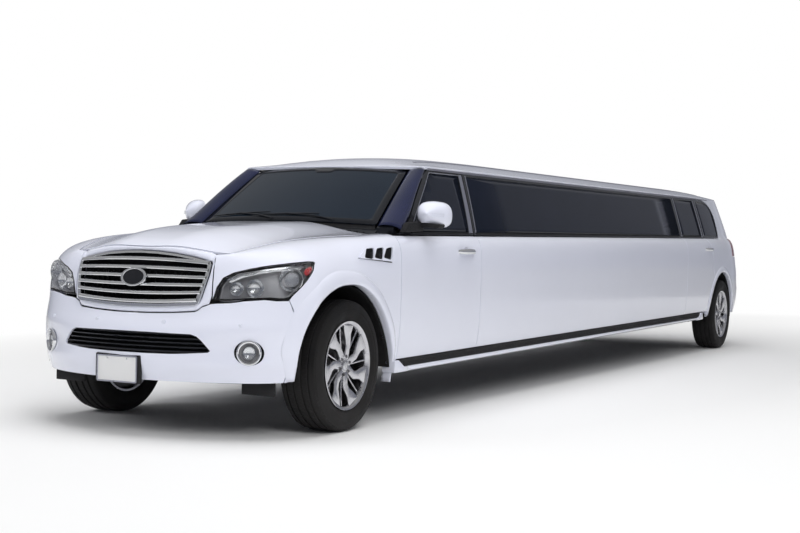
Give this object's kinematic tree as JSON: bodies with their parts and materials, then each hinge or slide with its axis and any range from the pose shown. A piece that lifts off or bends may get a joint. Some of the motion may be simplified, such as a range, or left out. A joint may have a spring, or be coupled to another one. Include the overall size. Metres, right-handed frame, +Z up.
{
  "type": "stretch limousine",
  "caption": "Stretch limousine on a full-size sport utility body, with opening doors, hood and tailgate, steered front wheels and rolling wheels.",
  "frame": {"origin": "middle of the car's outline at the ground under it", "axes": "+Z up, the car faces -Y, +X towards its left side"},
  "size_m": [2.224, 11.39, 1.9213],
  "materials": {
    "white_paint": "gloss white paint",
    "windshield_glass": "lightly tinted glass",
    "dark_glass": "dark tinted glass",
    "gloss_black": "gloss black",
    "chrome": "bright chrome",
    "lamp_clear": "clear lens",
    "lamp_red": "red lens",
    "tyre": "black rubber",
    "board_black": "ribbed black plastic",
    "black_plastic": "grained black plastic",
    "plate_white": "plain white plate",
    "chassis_black": "satin black paint",
    "cast_metal": "cast and machined metal",
    "steel": "bare steel",
    "leather": "dark leather"
  },
  "bodies": {
    "body": {"chassis_frame": "chassis_black", "floor_pan": "chassis_black", "roof_panel": "white_paint", "side_wall_left": "white_paint", "side_wall_right": "white_paint", "rear_quarter_left": "white_paint", "rear_quarter_right": "white_paint", "front_fender_left": "white_paint", "front_fender_right": "white_paint", "windshield_frame": "gloss_black", "windshield": "windshield_glass", "side_windows": "dark_glass", "front_bumper": "white_paint", "grille": "chrome", "headlights": "lamp_clear", "fog_lights": "lamp_clear", "rear_bumper": "white_paint", "tail_lights": "lamp_red", "running_boards": "board_black", "wheel_arch_liners": "black_plastic", "number_plates": "plate_white", "engine_block": "cast_metal", "driveshaft": "cast_metal", "exhaust": "steel", "fuel_tank": "chassis_black", "front_suspension": "cast_metal", "rear_axle": "chassis_black", "dashboard": "black_plastic", "steering_wheel": "black_plastic", "front_seats": "leather", "lounge_seats": "leather", "partition": "leather"},
    "hood": {"hood": "white_paint"},
    "front_door_left": {"front_door_left": "white_paint", "front_door_glass_left": "dark_glass", "mirror_left": "white_paint"},
    "front_door_right": {"front_door_right": "white_paint", "front_door_glass_right": "dark_glass", "mirror_right": "white_paint"},
    "rear_door_left": {"rear_door_left": "white_paint", "rear_door_glass_left": "dark_glass"},
    "rear_door_right": {"rear_door_right": "white_paint", "rear_door_glass_right": "dark_glass"},
    "tailgate": {"tailgate": "white_paint", "rear_window": "dark_glass"},
    "knuckle_left": {"knuckle_left": "cast_metal"},
    "knuckle_right": {"knuckle_right": "cast_metal"},
    "front_wheel_left": {"front_tyre_left": "tyre", "front_rim_left": "chrome"},
    "front_wheel_right": {"front_tyre_right": "tyre", "front_rim_right": "chrome"},
    "rear_wheel_left": {"rear_tyre_left": "tyre", "rear_rim_left": "chrome"},
    "rear_wheel_right": {"rear_tyre_right": "tyre", "rear_rim_right": "chrome"}
  },
  "joints": [
    {"name": "front_door_left_hinge", "type": "hinge", "parent": "body", "child": "front_door_left", "pos_m": [1.006, -4.044, 0.9], "axis": [0, 0, -1], "range_deg": [0, 65]},
    {"name": "front_door_right_hinge", "type": "hinge", "parent": "body", "child": "front_door_right", "pos_m": [-1.006, -4.044, 0.9], "axis": [0, 0, 1], "range_deg": [0, 65]},
    {"name": "rear_door_left_hinge", "type": "hinge", "parent": "body", "child": "rear_door_left", "pos_m": [1.006, 2.888, 0.9], "axis": [0, 0, -1], "range_deg": [0, 65]},
    {"name": "rear_door_right_hinge", "type": "hinge", "parent": "body", "child": "rear_door_right", "pos_m": [-1.006, 2.888, 0.9], "axis": [0, 0, 1], "range_deg": [0, 65]},
    {"name": "hood_hinge", "type": "hinge", "parent": "body", "child": "hood", "pos_m": [0, -3.96, 1.262], "axis": [-1, 0, 0], "range_deg": [0, 48]},
    {"name": "tailgate_hinge", "type": "hinge", "parent": "body", "child": "tailgate", "pos_m": [0, 5.217, 1.878], "axis": [1, 0, 0], "range_deg": [0, 78]},
    {"name": "steer_left", "type": "hinge", "parent": "body", "child": "knuckle_left", "pos_m": [0.7695, -4.71, 0.415], "axis": [0, 0, 1], "range_deg": [-32, 32]},
    {"name": "steer_right", "type": "hinge", "parent": "body", "child": "knuckle_right", "pos_m": [-0.7695, -4.71, 0.415], "axis": [0, 0, 1], "range_deg": [-32, 32]},
    {"name": "front_wheel_left_spin", "type": "hinge", "parent": "knuckle_left", "child": "front_wheel_left", "pos_m": [0.8575, -4.71, 0.415], "axis": [1, 0, 0], "continuous": true},
    {"name": "front_wheel_right_spin", "type": "hinge", "parent": "knuckle_right", "child": "front_wheel_right", "pos_m": [-0.8575, -4.71, 0.415], "axis": [1, 0, 0], "continuous": true},
    {"name": "rear_wheel_left_spin", "type": "hinge", "parent": "body", "child": "rear_wheel_left", "pos_m": [0.8575, 4.465, 0.415], "axis": [1, 0, 0], "continuous": true},
    {"name": "rear_wheel_right_spin", "type": "hinge", "parent": "body", "child": "rear_wheel_right", "pos_m": [-0.8575, 4.465, 0.415], "axis": [1, 0, 0], "continuous": true}
  ],
  "couplings": [
    {"joint": "steer_right", "follows": "steer_left", "ratio": 1}
  ]
}
